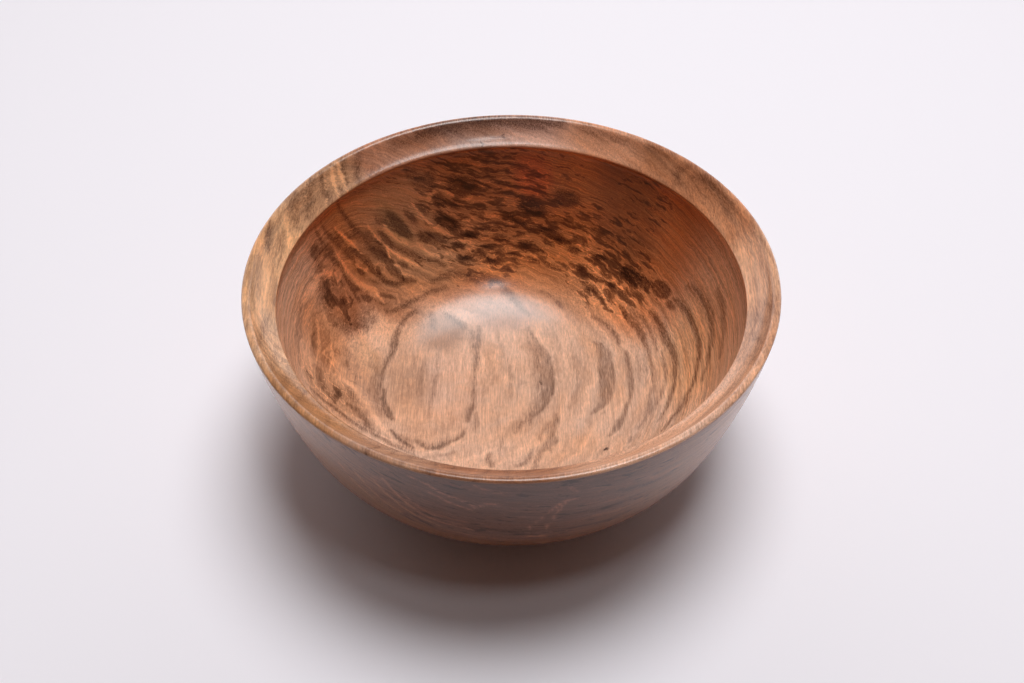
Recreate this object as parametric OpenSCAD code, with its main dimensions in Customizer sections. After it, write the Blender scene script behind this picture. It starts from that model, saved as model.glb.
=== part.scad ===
// A deep bowl turned from one block of wood.
// The bowl stands on z = 0 with its axis on +Z. All sizes are in millimetres, angles in degrees.
// Half of its cross-section is one closed outline in the plane (radius, height), spun about the axis.

/* [Overall size] */
// Widest diameter, at the outer edge of the lip
bowl_d = 250; // [220:1:300]
// Height from the table to the crest of the rim
bowl_h = 106; // [96:1:125]

/* [Wall] */
// Thickness of the wall below the rim
wall_t = 10; // [8:0.5:12]
// Lean of the outside wall from upright, just below the lip
wall_lean = 9.2; // [5:0.2:13]
// Radius of the long arc that the outside wall follows
wall_r = 311; // [270:1:380]

/* [Rim] */
// Slope of the bevel that falls from the crest to the inside
bevel_slope = 40.6; // [30:0.2:45]
// Radius of the outer edge of the lip
lip_r = 1.2; // [0.8:0.1:1.8]
// Radius of the crest, between the outer edge and the bevel
crest_r = 3.2; // [2:0.1:4]
// Slope at which the outer edge gives way to the crest
crest_start = 75; // [55:1:85]
// How far the rim's inner edge stands over the hollow
rim_overhang = 3.4; // [1.5:0.1:5]
// Radius that eases the rim's inner edge
inner_edge_r = 0.8; // [0.4:0.1:1.2]
// Radius of the cove under the rim's inner edge
cove_r = 4; // [3:0.5:6]

/* [Belly and floor] */
// Radius of the arc that turns the outside wall under
belly_r = 66; // [55:1:75]
// Radius of the arc that joins the inside wall to the floor
inside_belly_r = 60; // [50:1:66]
// Radius of the shallow dish of the floor
floor_r = 300; // [240:5:450]
// Thickness of the wood at the middle of the floor
floor_t = 10.5; // [8:0.5:14]

/* [Foot] */
// Height of the foot ring below the belly
foot_h = 5; // [4:0.5:8]
// How far the foot ring's outside stands beyond the flat under the belly
foot_reach = 2; // [1:0.5:8]
// Width of the ring that rests on the table
foot_ring_w = 9; // [6:0.5:14]
// Radius of the ring's two lower edges
foot_edge_r = 1; // [0.5:0.1:1.2]
// Radius of the cove between the foot and the belly
foot_cove_r = 2.5; // [1.5:0.1:2.7]
// Depth of the recess inside the foot ring
recess_depth = 3; // [1.5:0.5:4]

/* [Hidden] */
$fn = 240;

// Point at a distance and an angle from a centre
function polar(centre, r, angle) = centre + r * [cos(angle), sin(angle)];

// Point at a distance from a centre, towards a target
function towards(centre, target, r) = centre + r * (target - centre) / norm(target - centre);

// Meeting point of two circles, on the right of the line from a to b
function meet(a, r_a, b, r_b) =
    let (
        gap = norm(b - a),
        along = (gap * gap + r_a * r_a - r_b * r_b) / (2 * gap),
        across = sqrt(r_a * r_a - along * along),
        ahead = (b - a) / gap,
        right = [ahead[1], -ahead[0]]
    )
    a + along * ahead + across * right;

// Distance along a ray from a point to the first or second crossing of a circle
function ray_reach(start, ahead, centre, r, side) =
    let (
        offset = start - centre,
        half = offset * ahead
    )
    -half + side * sqrt(half * half - offset * offset + r * r);

// Lip: a small outer edge and a larger crest, tangent to each other at crest_start
lip_c = [bowl_d / 2 - lip_r, bowl_h - crest_r + (crest_r - lip_r) * sin(crest_start)];
crest_c = lip_c - (crest_r - lip_r) * [cos(crest_start), sin(crest_start)];
lip_low = polar(lip_c, lip_r, -wall_lean);
lip_high = polar(lip_c, lip_r, crest_start);
bevel_high = polar(crest_c, crest_r, 90 + bevel_slope);

// Outside wall: one long arc, tangent to the lip
wall_c = polar(lip_low, wall_r, 180 - wall_lean);

// Outside belly: tangent to the wall inside its circle and to the level under the belly
belly_z = foot_h + belly_r;
belly_c = [wall_c[0] + sqrt(pow(wall_r - belly_r, 2) - pow(belly_z - wall_c[1], 2)), belly_z];
wall_low = towards(wall_c, belly_c, wall_r);

// Foot ring and the cove that blends it into the belly
foot_out = belly_c[0] + foot_reach;
foot_in = foot_out - foot_ring_w;
foot_cove_x = foot_out + foot_cove_r;
foot_cove_c = [
    foot_cove_x,
    belly_z - sqrt(pow(belly_r + foot_cove_r, 2) - pow(foot_cove_x - belly_c[0], 2))
];
belly_low = towards(foot_cove_c, belly_c, foot_cove_r);

// Inside wall: the outside wall's arc, one wall thickness in
inside_r = wall_r - wall_t;

// Floor: a shallow dish, tangent to the inside belly, which is tangent to the inside wall
floor_z = recess_depth + floor_t;
floor_c = [0, floor_z + floor_r];
inside_belly_c = meet(wall_c, inside_r - inside_belly_r, floor_c, floor_r - inside_belly_r);
inside_wall_low = towards(wall_c, inside_belly_c, inside_r);
floor_edge = towards(floor_c, inside_belly_c, floor_r);

// Inner edge of the rim before it is eased: where the bevel reaches its overhang
bevel_fall = [-cos(bevel_slope), -sin(bevel_slope)];
inner_edge = bevel_high + bevel_fall * ray_reach(bevel_high, bevel_fall, wall_c, inside_r - rim_overhang, -1);

// Cove under the rim: starts at the inner edge and runs tangent into the inside wall
cove_c = meet(wall_c, inside_r - cove_r, inner_edge, cove_r);
cove_low = towards(wall_c, cove_c, inside_r);

// Eased inner edge: tangent to the bevel and to the cove
bevel_in = [sin(bevel_slope), -cos(bevel_slope)];
edge_start = inner_edge + inner_edge_r * bevel_in;
edge_c = edge_start - bevel_fall * ray_reach(edge_start, -bevel_fall, cove_c, cove_r + inner_edge_r, 1);
bevel_low = edge_c - inner_edge_r * bevel_in;
cove_high = towards(cove_c, edge_c, cove_r);

// Corners of the half section, from the middle of the underside round the outside to the floor.
// A corner with a second point is joined to the next corner by an arc about that point.
section_corners = [
    [[0, recess_depth]],
    [[foot_in, recess_depth]],
    [[foot_in, foot_edge_r], [foot_in + foot_edge_r, foot_edge_r]],
    [[foot_in + foot_edge_r, 0]],
    [[foot_out - foot_edge_r, 0], [foot_out - foot_edge_r, foot_edge_r]],
    [[foot_out, foot_edge_r]],
    [[foot_out, foot_cove_c[1]], foot_cove_c],
    [belly_low, belly_c],
    [wall_low, wall_c],
    [lip_low, lip_c],
    [lip_high, crest_c],
    [bevel_high],
    [bevel_low, edge_c],
    [cove_high, cove_c],
    [cove_low, wall_c],
    [inside_wall_low, inside_belly_c],
    [floor_edge, floor_c],
    [[0, floor_z]]
];

// How far the drawn outline may lie from a true arc, and the fewest steps that an arc takes
arc_error = 0.02;
arc_steps_min = 4;

// Points of the arc about a centre from one point up to, but not including, another
function arc_points(start, end, centre) =
    let (
        r = norm(start - centre),
        from = atan2(start[1] - centre[1], start[0] - centre[0]),
        to = atan2(end[1] - centre[1], end[0] - centre[0]),
        turn = to - from,
        sweep = turn > 180 ? turn - 360 : turn < -180 ? turn + 360 : turn,
        steps = max(arc_steps_min, ceil(abs(sweep) / (2 * acos(1 - arc_error / r))))
    )
    [for (i = [0:steps - 1]) polar(centre, r, from + sweep * i / steps)];

// Points that one entry of section_corners adds to the outline
function corner_points(i) =
    let (
        corner = section_corners[i]
    )
    len(corner) == 1 ? corner : arc_points(corner[0], section_corners[i + 1][0], corner[1]);

// Half of the bowl's cross-section
module half_section() {
    polygon([for (i = [0:len(section_corners) - 1]) each corner_points(i)]);
}

// The whole bowl, one turned solid
module bowl() {
    color([0.72, 0.46, 0.28])
        rotate_extrude() half_section();
}

bowl();
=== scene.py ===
"""The looks of a deep bowl turned from one block of figured wood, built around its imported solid."""

from math import atan2, ceil, cos, hypot, pi, radians, sin, sqrt

import bpy
import numpy as np
from mathutils import Matrix, Vector


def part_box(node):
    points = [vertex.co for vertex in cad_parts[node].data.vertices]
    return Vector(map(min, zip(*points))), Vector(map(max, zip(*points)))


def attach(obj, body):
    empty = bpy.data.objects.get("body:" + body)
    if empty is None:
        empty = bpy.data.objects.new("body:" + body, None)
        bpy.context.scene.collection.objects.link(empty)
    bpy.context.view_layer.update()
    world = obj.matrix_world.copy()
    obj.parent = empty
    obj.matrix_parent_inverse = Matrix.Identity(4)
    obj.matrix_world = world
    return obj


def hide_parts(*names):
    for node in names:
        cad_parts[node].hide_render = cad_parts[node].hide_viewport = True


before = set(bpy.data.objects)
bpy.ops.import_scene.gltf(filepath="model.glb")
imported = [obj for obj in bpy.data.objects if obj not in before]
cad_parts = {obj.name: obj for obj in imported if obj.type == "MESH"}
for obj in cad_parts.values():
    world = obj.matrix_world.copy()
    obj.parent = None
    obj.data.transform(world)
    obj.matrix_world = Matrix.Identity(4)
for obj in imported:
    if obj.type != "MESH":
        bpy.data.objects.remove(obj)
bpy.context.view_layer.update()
MM = 0.001

# The photograph's frame, and where the middle of the rim lies in it
PHOTO_W, PHOTO_H = 1024, 683
FOCAL_PX = 1400
RIM_CENTRE_PX = (511.2, 275.0)
CAMERA_ELEVATION = radians(42.44)
CAMERA_DISTANCE = 0.6545
CAMERA_ROLL = radians(-0.189)
RIM_PLANE_BELOW_CREST = 1.2 * MM
SENSOR_W = 36.0


def add_camera(rim_centre):
    """The camera of the photograph: it looks down on the middle of the rim."""
    data = bpy.data.cameras.new("camera")
    data.sensor_width = SENSOR_W
    data.lens = FOCAL_PX / PHOTO_W * SENSOR_W
    data.clip_start = 10 * MM
    camera = bpy.data.objects.new("camera", data)
    bpy.context.scene.collection.objects.link(camera)
    right_px = RIM_CENTRE_PX[0] - PHOTO_W / 2
    above_px = PHOTO_H / 2 - RIM_CENTRE_PX[1]
    pitch = CAMERA_ELEVATION + atan2(above_px, hypot(FOCAL_PX, right_px))
    yaw = atan2(right_px, FOCAL_PX)
    turn = Matrix.Rotation(yaw, 4, "Z") @ Matrix.Rotation(pi / 2 - pitch, 4, "X")
    turn = turn @ Matrix.Rotation(CAMERA_ROLL, 4, "Z")
    back = Vector((0, -cos(CAMERA_ELEVATION), sin(CAMERA_ELEVATION)))
    camera.matrix_world = Matrix.Translation(rim_centre + CAMERA_DISTANCE * back) @ turn
    bpy.context.scene.camera = camera


low, high = (Vector(corner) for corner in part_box("bowl"))
add_camera(Vector((0, 0, high.z - RIM_PLANE_BELOW_CREST)))

# Sizes of the bowl's half section, in millimetres, as in the solid
BOWL_D = round((high.x - low.x) / MM, 2)
BOWL_H = round((high.z - low.z) / MM, 2)
WALL_T = 10
WALL_LEAN = radians(9.2)
WALL_R = 311
BEVEL_SLOPE = radians(40.6)
LIP_R = 1.2
CREST_R = 3.2
CREST_START = radians(75)
RIM_OVERHANG = 3.4
INNER_EDGE_R = 0.8
COVE_R = 4
BELLY_R = 66
INSIDE_BELLY_R = 60
FLOOR_R = 300
FLOOR_T = 10.5
FOOT_H = 5
FOOT_REACH = 2
FOOT_RING_W = 9
FOOT_EDGE_R = 1
FOOT_COVE_R = 2.5
RECESS_DEPTH = 3
# How far the bevel is hollowed below a straight slope
BEVEL_HOLLOW = 0.95

# Spacing of the mesh, in millimetres: finer where the wood's figure is seen close
INSIDE_STEP = 1.25
RIM_STEP = 1.0
OUTSIDE_STEP = 2.6
MOST_SEGMENTS = 576
FEWEST_SEGMENTS = 9
# A ring narrower than this is a single point
POLE_R = 1e-6

# The four parts of the surface, in the order of the half section
INSIDE, RIM, OUTSIDE, UNDERSIDE = range(4)


def at(x, y):
    return np.array((x, y), float)


def polar(centre, r, angle):
    """The point at a distance and an angle from a centre."""
    return centre + r * at(cos(angle), sin(angle))


def towards(centre, target, r):
    """The point at a distance from a centre, towards a target."""
    return centre + r * (target - centre) / np.linalg.norm(target - centre)


def meet(a, r_a, b, r_b):
    """The meeting point of two circles that lies right of the line from a to b."""
    gap = np.linalg.norm(b - a)
    along = (gap**2 + r_a**2 - r_b**2) / (2 * gap)
    ahead = (b - a) / gap
    return a + along * ahead + sqrt(r_a**2 - along**2) * at(ahead[1], -ahead[0])


def ray_reach(start, ahead, centre, r, side):
    """How far along a ray its first (side -1) or second (side 1) crossing of a circle lies."""
    offset = start - centre
    half = offset @ ahead
    return -half + side * sqrt(half**2 - offset @ offset + r**2)


def stretch(start, end, step, centre=None):
    """Points from start up to, but not including, end: along a straight line, or an arc about a centre."""
    if centre is None:
        steps = max(1, ceil(np.linalg.norm(end - start) / step))
        return [start + (end - start) * i / steps for i in range(steps)]
    r = np.linalg.norm(start - centre)
    first = atan2(start[1] - centre[1], start[0] - centre[0])
    last = atan2(end[1] - centre[1], end[0] - centre[0])
    sweep = (last - first + pi) % (2 * pi) - pi
    steps = max(2, ceil(abs(sweep) * r / step))
    return [polar(centre, r, first + sweep * i / steps) for i in range(steps)]


def hollowed(points, start, end):
    """The points of a straight slope, sunk into a shallow hollow that is deepest halfway."""
    ahead = (end - start) / np.linalg.norm(end - start)
    sink = at(ahead[1], -ahead[0]) * BEVEL_HOLLOW
    shares = [np.linalg.norm(point - start) / np.linalg.norm(end - start) for point in points]
    return [point + sink * 4 * share * (1 - share) for point, share in zip(points, shares)]


def half_section():
    """Points (radius, height) from the middle of the floor over the rim to the middle of the underside, as
    four lists: inside, rim, outside and underside."""
    # Lip, crest and outside wall
    lip_c = at(BOWL_D / 2 - LIP_R, BOWL_H - CREST_R + (CREST_R - LIP_R) * sin(CREST_START))
    crest_c = lip_c - (CREST_R - LIP_R) * at(cos(CREST_START), sin(CREST_START))
    lip_low = polar(lip_c, LIP_R, -WALL_LEAN)
    lip_high = polar(lip_c, LIP_R, CREST_START)
    bevel_high = polar(crest_c, CREST_R, pi / 2 + BEVEL_SLOPE)
    wall_c = polar(lip_low, WALL_R, pi - WALL_LEAN)
    # Belly, foot ring and the cove between them
    belly_z = FOOT_H + BELLY_R
    belly_c = at(wall_c[0] + sqrt((WALL_R - BELLY_R) ** 2 - (belly_z - wall_c[1]) ** 2), belly_z)
    wall_low = towards(wall_c, belly_c, WALL_R)
    foot_out = belly_c[0] + FOOT_REACH
    foot_in = foot_out - FOOT_RING_W
    cove_x = foot_out + FOOT_COVE_R
    foot_cove_c = at(cove_x, belly_z - sqrt((BELLY_R + FOOT_COVE_R) ** 2 - (cove_x - belly_c[0]) ** 2))
    belly_low = towards(foot_cove_c, belly_c, FOOT_COVE_R)
    # Inside wall, its belly and the floor
    inside_r = WALL_R - WALL_T
    floor_z = RECESS_DEPTH + FLOOR_T
    floor_c = at(0, floor_z + FLOOR_R)
    inside_belly_c = meet(wall_c, inside_r - INSIDE_BELLY_R, floor_c, FLOOR_R - INSIDE_BELLY_R)
    inside_wall_low = towards(wall_c, inside_belly_c, inside_r)
    floor_edge = towards(floor_c, inside_belly_c, FLOOR_R)
    # Inner edge of the rim and the cove under it
    fall = at(-cos(BEVEL_SLOPE), -sin(BEVEL_SLOPE))
    inner_edge = bevel_high + fall * ray_reach(bevel_high, fall, wall_c, inside_r - RIM_OVERHANG, -1)
    cove_c = meet(wall_c, inside_r - COVE_R, inner_edge, COVE_R)
    cove_low = towards(wall_c, cove_c, inside_r)
    bevel_in = at(sin(BEVEL_SLOPE), -cos(BEVEL_SLOPE))
    edge_start = inner_edge + INNER_EDGE_R * bevel_in
    edge_c = edge_start - fall * ray_reach(edge_start, -fall, cove_c, COVE_R + INNER_EDGE_R, 1)
    bevel_low = edge_c - INNER_EDGE_R * bevel_in
    cove_high = towards(cove_c, edge_c, COVE_R)
    ring_in = at(foot_in + FOOT_EDGE_R, FOOT_EDGE_R)
    ring_out = at(foot_out - FOOT_EDGE_R, FOOT_EDGE_R)
    inside = [
        *stretch(at(0, floor_z), floor_edge, INSIDE_STEP, floor_c),
        *stretch(floor_edge, inside_wall_low, INSIDE_STEP, inside_belly_c),
        *stretch(inside_wall_low, cove_low, INSIDE_STEP, wall_c),
        *stretch(cove_low, cove_high, INSIDE_STEP, cove_c),
    ]
    rim = [
        *stretch(cove_high, bevel_low, RIM_STEP / 3, edge_c),
        *hollowed(stretch(bevel_low, bevel_high, RIM_STEP), bevel_low, bevel_high),
        *stretch(bevel_high, lip_high, RIM_STEP / 2, crest_c),
        *stretch(lip_high, lip_low, RIM_STEP / 3, lip_c),
    ]
    outside = [
        *stretch(lip_low, wall_low, OUTSIDE_STEP, wall_c),
        *stretch(wall_low, belly_low, OUTSIDE_STEP, belly_c),
        *stretch(belly_low, at(foot_out, foot_cove_c[1]), RIM_STEP / 2, foot_cove_c),
        *stretch(at(foot_out, foot_cove_c[1]), at(foot_out, FOOT_EDGE_R), RIM_STEP),
        *stretch(at(foot_out, FOOT_EDGE_R), at(ring_out[0], 0), RIM_STEP / 3, ring_out),
    ]
    underside = [
        *stretch(at(ring_out[0], 0), at(ring_in[0], 0), RIM_STEP),
        *stretch(at(ring_in[0], 0), at(foot_in, FOOT_EDGE_R), RIM_STEP / 3, ring_in),
        *stretch(at(foot_in, FOOT_EDGE_R), at(foot_in, RECESS_DEPTH), RIM_STEP),
        *stretch(at(foot_in, RECESS_DEPTH), at(0, RECESS_DEPTH), OUTSIDE_STEP),
        at(0, RECESS_DEPTH),
    ]
    return [np.array(part) for part in (inside, rim, outside, underside)]


def ring_count(r, step):
    """Segments of a ring: the most there can be, halved while they stay as short as the step."""
    count = MOST_SEGMENTS
    while count > FEWEST_SEGMENTS and 2 * pi * r / (count / 2) <= step:
        count //= 2
    return count


def revolve():
    """Vertices and faces of the bowl, and for each vertex its region, its length along the half section and
    its angle round the axis."""
    steps = (INSIDE_STEP, INSIDE_STEP, OUTSIDE_STEP, OUTSIDE_STEP)
    rings = []
    for region, (part, step) in enumerate(zip(half_section(), steps)):
        for r, z in part:
            rings.append((r, z, 1 if r < POLE_R else ring_count(r, step), region))
    starts = np.cumsum([0] + [ring[2] for ring in rings])
    length = 0
    points, regions, lengths, angles = [], [], [], []
    for i, (r, z, count, region) in enumerate(rings):
        if i:
            length += hypot(r - rings[i - 1][0], z - rings[i - 1][1])
        for j in range(count):
            angle = 2 * pi * j / count
            points.append((r * cos(angle), r * sin(angle), z))
            regions.append(region)
            lengths.append(length)
            angles.append(angle)
    faces = []
    for i in range(len(rings) - 1):
        faces += ring_faces(starts[i], rings[i][2], starts[i + 1], rings[i + 1][2])
    return np.array(points), faces, np.array(regions), np.array(lengths), np.array(angles)


def ring_faces(a, n_a, b, n_b):
    """Faces between the rings that start at vertices a and b. Their counts are alike, or one is twice the
    other, or one ring is a single point."""
    faces = []
    if n_a == 1:
        return [(a, b + j, b + (j + 1) % n_b) for j in range(n_b)]
    if n_b == 1:
        return [(a + j, b, a + (j + 1) % n_a) for j in range(n_a)]
    for j in range(min(n_a, n_b)):
        if n_a == n_b:
            k = (j + 1) % n_a
            faces.append((a + j, b + j, b + k, a + k))
        elif n_b == 2 * n_a:
            k = (j + 1) % n_a
            left, mid, right = b + 2 * j, b + 2 * j + 1, b + (2 * j + 2) % n_b
            faces += [(a + j, left, mid), (a + j, mid, a + k), (a + k, mid, right)]
        elif n_a == 2 * n_b:
            k = (j + 1) % n_b
            left, mid, right = a + 2 * j, a + 2 * j + 1, a + (2 * j + 2) % n_a
            faces += [(left, b + j, mid), (mid, b + j, b + k), (mid, b + k, right)]
        else:
            raise ValueError("neighbouring rings differ by more than a factor of two")
    return faces


# The wood's figure, placed from the photograph. A stroke is a mark along a path. It holds how softly
# it fades, on both sides or to the left and the right, then its depth, negative for a light mark, and its
# points (x, y, half-width), in millimetres and in plan.
EYE_STROKES = [
    (1.2, 0.5, [(-51, 57.5, 0.4), (-56, 53, 0.7), (-59, 47, 0.7), (-61, 40, 1.2), (-61.6, 35, 1.6),
        (-62.6, 29, 1), (-65.4, 23, 0.6), (-67, 15, 0.6), (-67.6, 7, 0.6), (-67.4, 1, 0.3)]),
    ((1.6, 1), 0.52, [(-65, 5, 0.4), (-65.4, -1, 0.9), (-64, -6, 1.4), (-62.3, -10.5, 2),
        (-60.2, -14, 0.8)]),
    ((1, 1.2), 0.62, [(-60, -22.5, 0.5), (-56.3, -27.2, 0.8), (-52, -30.6, 0.9), (-49, -32.4, 0.5)]),
    ((3, 1.6), 0.36, [(-55, -25, 0.4), (-51, -27.2, 0.8), (-47.5, -28.4, 0.6)]),
    ((4, 1.2), 0.5, [(-47, -27, 0.6), (-44.5, -29.5, 1.3), (-42, -31.6, 1), (-39, -31, 1.4),
        (-36, -29.6, 1.8), (-33, -26.8, 1.7), (-30.5, -24.6, 0.8)]),
    ((2, 1), 0.45, [(-29, -25, 0.4), (-26.3, -22.6, 0.8), (-24.2, -19.5, 0.7), (-23.6, -16, 0.3)]),
    (1.6, 0.22, [(-37, -36.2, 0.3), (-32, -35.4, 0.5), (-28, -33, 0.4)]),
    ((1.6, 2.4), 0.42, [(-17, 53, 0.6), (-18, 47, 1.3), (-18.6, 40, 1.7), (-18.6, 33, 1.4), (-18.9, 26, 1),
        (-19.5, 19, 0.7), (-19.8, 12, 0.7), (-19.4, 5, 0.7), (-20, 0, 1.2), (-21.6, -5, 1.5),
        (-22.8, -10.5, 0.8)]),
    (1.5, 0.34, [(-21.2, 50, 0.5), (-21, 45, 0.8), (-20.6, 39, 0.6)]),
    (1.8, 0.3, [(-18.4, -5, 0.7), (-18.2, -11, 1.2), (-18.6, -17.5, 0.8)]),
    (2.4, 0.42, [(-35.5, 59.5, 0.8), (-32, 57.4, 1.6), (-28.6, 55, 1.8), (-25.4, 51.8, 1.2)]),
    (2, 0.34, [(-42.8, 58, 0.5), (-42, 54, 1.2), (-41.6, 50, 0.8)]),
    ((1.6, 2.6), 0.3, [(-39, 33, 0.3), (-38.8, 25, 0.7), (-40, 14, 0.8), (-40.6, 6, 0.8), (-41.6, -2, 0.6),
        (-41.7, -10, 0.3)]),
    ((3, 2.6), 0.2, [(-46, 29, 0.4), (-46, 22, 1.2), (-47.4, 15, 1.6), (-47.8, 8, 1.4), (-45.8, -2, 0.8),
        (-44.2, -7.5, 0.4)]),
    (1.4, 0.16, [(-51, 31, 0.2), (-51, 24, 0.5), (-53, 12, 0.5), (-53, 2, 0.2)]),
    ((3, 2.4), 0.24, [(-70, 19, 0.6), (-70, 10, 1.2), (-69, 2, 1), (-67.4, -6, 0.8), (-64.8, -13, 0.4)]),
]
FLOOR_STROKES = [
    (1.2, 0.2, [(-13.4, 32, 0.2), (-13.4, 26, 0.4), (-14, 20, 0.2)]),
    (1.2, 0.24, [(-14.4, 14, 0.3), (-14.6, 5, 0.4), (-14.2, 0, 0.2)]),
    (1.6, 0.22, [(-8.5, 51, 0.4), (-6, 42, 0.6), (-4.6, 34, 0.4)]),
    (1.6, 0.22, [(-2.2, 33, 0.3), (-0.6, 24, 0.7), (-0.6, 14, 0.7), (-1, 2, 0.3)]),
    (2, 0.26, [(-7.6, -4, 0.4), (-7.2, -11, 0.8), (-7.6, -18, 0.4)]),
    (2, 0.28, [(-4.6, -21, 0.5), (-5, -26, 1.1), (-5.6, -31, 0.6)]),
    (1.2, 0.55, [(-10.6, -33, 0.5), (-12, -37.5, 1), (-10, -41.5, 1.3), (-8.8, -42.6, 0.5)]),
    ((1.3, 5), 0.4, [(9.5, 52, 0.6), (11, 46, 1.6), (13, 40, 3.4), (15, 33, 4.2), (16.4, 25, 4.6),
        (17, 17, 4.4), (16.2, 9, 4.2), (14, 2, 4), (10.4, -4, 3.4), (6.4, -9.6, 2.4), (3.4, -14, 1.6),
        (1.2, -18, 0.8)]),
    ((1, 2.4), 0.5, [(17.6, 38, 0.6), (19.8, 32, 1), (20.8, 25, 1), (21.2, 16, 1), (20.2, 9, 1.4),
        (17.6, 3, 1.8), (14, -2.4, 1.8), (10, -7.6, 1.2), (8.9, -13, 0.5)]),
    ((1.4, 1.8), 0.42, [(22.6, -6, 0.5), (22.6, -10, 1.5), (20.8, -15, 1.6), (20.2, -20, 1.8),
        (20.6, -24.6, 2.4), (17.6, -28.4, 2), (14.4, -32, 1.4), (12.4, -38, 1.2), (10.8, -44, 1)]),
    (1.6, 0.32, [(19.6, -11, 0.5), (15.8, -18, 1.2), (13.6, -23.6, 1)]),
    (1.4, 0.45, [(9.8, -31, 0.4), (8.8, -35, 1.2), (6.6, -39.6, 0.9), (3.4, -42, 1)]),
    (0.9, 0.4, [(19.4, -30, 0.4), (19.6, -33, 0.4)]),
    (3, 0.15, [(32, 42, 1), (31.8, 32, 1.6), (34.6, 22, 2), (34.4, 13, 2), (31.8, 4, 1.4), (31.4, -6, 0.8)]),
    ((1.1, 1.4), 0.42, [(43.4, 40.6, 0.4), (47, 37.4, 1.8), (48.9, 31, 3.2), (49.4, 23, 4), (49.4, 14, 4.1),
        (48.9, 7, 3.6), (47.6, 0, 2.6), (45, -4, 1.5), (42, -6.4, 0.9), (40.6, -8, 0.4)]),
    (1.6, 0.2, [(47.6, -6.8, 0.8), (46.4, -8, 0.6)]),
]
RIGHT_WALL_STROKES = [
    ((1.2, 1.6), 0.5, [(43.6, 55.8, 0.4), (49.4, 51.2, 0.9), (53, 46.2, 1), (55.8, 41.6, 1.1),
        (57, 36.4, 0.5)]),
    ((1.1, 1.6), 0.46, [(60.4, 31, 0.4), (60.6, 25, 0.8), (61.5, 19, 1), (61.6, 12, 1.2), (61.2, 6, 1),
        (60.4, 0, 0.7), (58.4, -5, 0.8), (56.6, -11, 1), (54.2, -15, 1.9), (52.4, -19.4, 1.9),
        (48.6, -24.4, 0.6)]),
    (1.6, 0.26, [(65.2, 26, 0.3), (65.8, 18, 0.8), (65.6, 10, 0.5)]),
    (2, 0.22, [(69, 26, 0.3), (69.4, 16, 1), (68.6, 6, 0.6)]),
    (1.6, 0.5, [(58.2, 57.4, 0.5), (61, 53.2, 1.4), (63.8, 47.8, 1.6), (66.6, 42.6, 1.8), (68.8, 37, 1.6),
        (70.2, 31.2, 1), (71.8, 24, 0.6), (72.6, 15, 0.7), (72.6, 7, 0.6)]),
    (1.4, 0.42, [(63.6, 53.6, 0.4), (68.6, 47.6, 0.8), (72.2, 40.6, 0.9), (74.4, 33.4, 0.7),
        (75.6, 26, 0.4)]),
    (1.6, 0.4, [(72.6, 4.6, 0.6), (70.6, -1, 1.3), (69.8, -7, 1.5), (68.6, -13, 1.6), (66.4, -17.6, 1),
        (63, -22.6, 0.5)]),
    ((1, 1.2), 0.42, [(73, -4, 0.4), (72.8, -8, 0.8), (72, -12, 0.4)]),
    ((1, 1.2), 0.46, [(76, 0, 0.4), (75.6, -3, 0.8), (74.8, -6.6, 0.4)]),
    ((1, 1.4), 0.38, [(77.4, 24, 0.4), (78.4, 17, 0.7), (78.8, 10, 0.8), (77.8, 2, 0.6), (76.6, -3, 0.4)]),
    ((1.3, 1.6), 0.78, [(60.4, 72.4, 1.4), (63.8, 68.6, 2.2), (68, 64.8, 2.2), (72.6, 60.4, 1.6)]),
    ((1.1, 1.5), 0.62, [(73.4, 48.4, 0.6), (76.4, 42.4, 1.3), (78.8, 36.2, 1.4), (80.6, 29.4, 1.5),
        (82.2, 24, 1.3), (83.4, 18, 1.2), (83.6, 11, 1.1), (82.6, 3, 1), (81, -3.6, 1.1), (79, -9, 1),
        (77.2, -14, 0.7), (73, -21, 0.4)]),
    ((1, 1.3), 0.52, [(84, 47, 0.5), (87.6, 42, 0.8), (90.2, 36.4, 0.9), (92, 30.6, 1), (93.6, 24, 0.9),
        (94.8, 17, 0.9), (94.6, 9, 0.8), (92.8, 1, 0.7), (90.6, -6, 0.8), (88, -11, 1)]),
    (2, 0.36, [(87.4, -11, 1.4), (86.2, -14.6, 2.2), (83.6, -18.4, 1.8), (80.6, -22, 0.7)]),
    (0.8, 0.6, [(80.8, -20.6, 0.5), (77.6, -25, 0.6), (73.6, -30, 0.4)]),
    ((1.2, 1.4), 0.45, [(91, 46, 0.5), (96, 37, 0.9), (99, 28, 1), (100.4, 20, 1), (100, 10, 1),
        (97.4, -1, 0.7), (94, -9, 0.5)]),
    ((1, 1.2), 0.35, [(103, 28, 0.4), (104.6, 18, 0.8), (104.4, 6, 0.7), (102, -6, 0.4)]),
    (1, 0.4, [(59.4, -27.6, 0.3), (58.6, -30.6, 0.5)]),
]
FAR_STROKES = [
    ((1.3, 1.6), 0.48, [(-66, 51.6, 0.8), (-60.6, 55.6, 0.9), (-56, 59.4, 0.8), (-52.6, 62.4, 0.9),
        (-48, 65.6, 1), (-44, 69, 1), (-40, 71, 1), (-35, 73, 0.5)]),
    ((1.6, 1.8), 0.44, [(-43.6, 73.4, 0.5), (-39, 76.4, 1), (-34, 79.2, 1.6), (-29, 80.6, 1.6),
        (-24, 80, 1.8), (-18, 79.6, 2), (-12, 80.2, 1.6), (-6, 78.4, 1.4), (0, 72, 1.8), (5, 65.4, 1.6),
        (10, 61, 0.8)]),
    ((1.3, 1.6), 0.56, [(-27.4, 86.8, 0.7), (-22.6, 88.4, 1.2), (-17.4, 89.2, 1.2), (-12.6, 88.4, 1),
        (-8.6, 87, 0.5)]),
]
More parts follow.
